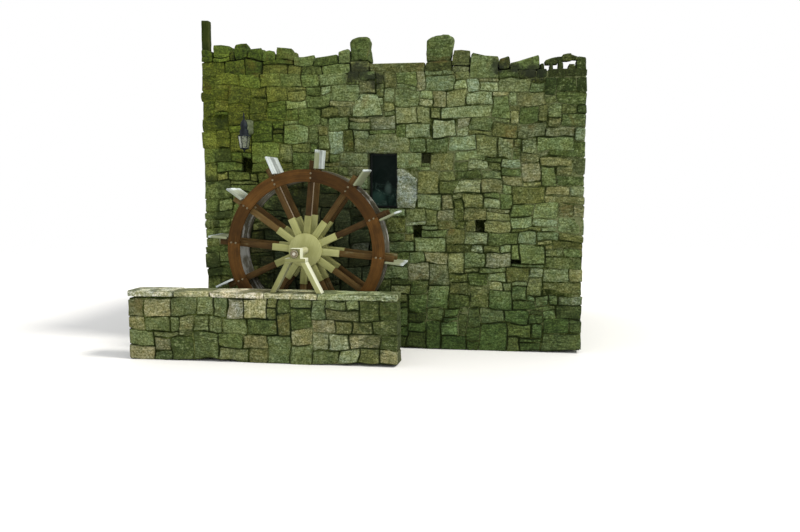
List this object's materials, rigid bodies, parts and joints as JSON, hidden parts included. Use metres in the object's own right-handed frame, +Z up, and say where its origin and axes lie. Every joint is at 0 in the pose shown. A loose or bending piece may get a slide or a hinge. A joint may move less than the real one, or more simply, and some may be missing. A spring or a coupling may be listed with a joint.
{
  "type": "stone watermill with timber water wheel",
  "caption": "Small rubble-stone mill with a ragged parapet and a timber water wheel that turns between its front wall and a low pier wall.",
  "frame": {"origin": "on the ground under the middle of the whole object's box", "axes": "+X to the right along the front wall, +Y into the building along the wheel's axle, +Z up"},
  "size_m": [6.22, 5.225, 4.81],
  "materials": {
    "rubble": "rough granite rubble with moss and lichen",
    "coping": "rough mossy granite",
    "dressed_stone": "split granite, pale with lichen",
    "paving": "worn stone flags",
    "pier_rubble": "rough mossy rubble",
    "pier_slab": "worn flat stone",
    "post_oak": "weathered oak",
    "frame_wood": "dark painted wood",
    "pane": "dark window glass",
    "cream_wood": "cream painted wood, satin",
    "brown_wood": "red-brown painted wood, satin",
    "grey_rim_wood": "weathered wood with worn brown paint",
    "silver_wood": "weathered silver-grey boards",
    "iron": "black cast iron",
    "lantern_metal": "black painted metal",
    "lantern_pane": "clear ribbed glass"
  },
  "bodies": {
    "root": {"front_wall_left": "rubble", "front_wall_right": "rubble", "front_wall_under_window": "rubble", "front_wall_over_window": "rubble", "left_wall": "rubble", "right_wall": "rubble", "back_wall_left": "rubble", "back_wall_right": "rubble", "back_wall_over_door": "rubble", "back_wall_under_door": "rubble", "ground_floor": "paving", "terrace": "paving", "front_coping": "coping", "left_coping": "coping", "right_coping": "coping", "back_coping": "coping", "left_upright_stone": "coping", "right_upright_stone": "coping", "corner_post": "post_oak", "window_lintel": "dressed_stone", "window_jamb_stone": "dressed_stone", "window_frame": "frame_wood", "window_glass": "pane", "door_lintel": "dressed_stone", "pier_wall": "pier_rubble", "pier_coping": "pier_slab", "trestle_left_leg": "cream_wood", "trestle_right_leg": "cream_wood", "trestle_crosspiece": "cream_wood", "front_bearing": "cream_wood", "wall_bearing": "iron", "lantern_bracket": "lantern_metal", "lantern_foot": "lantern_metal", "lantern_glass": "lantern_pane", "lantern_roof": "lantern_metal"},
    "wheel": {"axle": "cream_wood", "front_hub": "cream_wood", "back_hub": "cream_wood", "front_sockets": "cream_wood", "back_sockets": "cream_wood", "front_spokes": "brown_wood", "back_spokes": "brown_wood", "front_rim": "brown_wood", "back_rim": "grey_rim_wood", "float_boards": "silver_wood"}
  },
  "joints": [
    {"name": "wheel_spin", "type": "hinge", "parent": "root", "child": "wheel", "pos_m": [-0.735, -1.8275, 1.49], "axis": [0, 1, 0], "continuous": true}
  ]
}
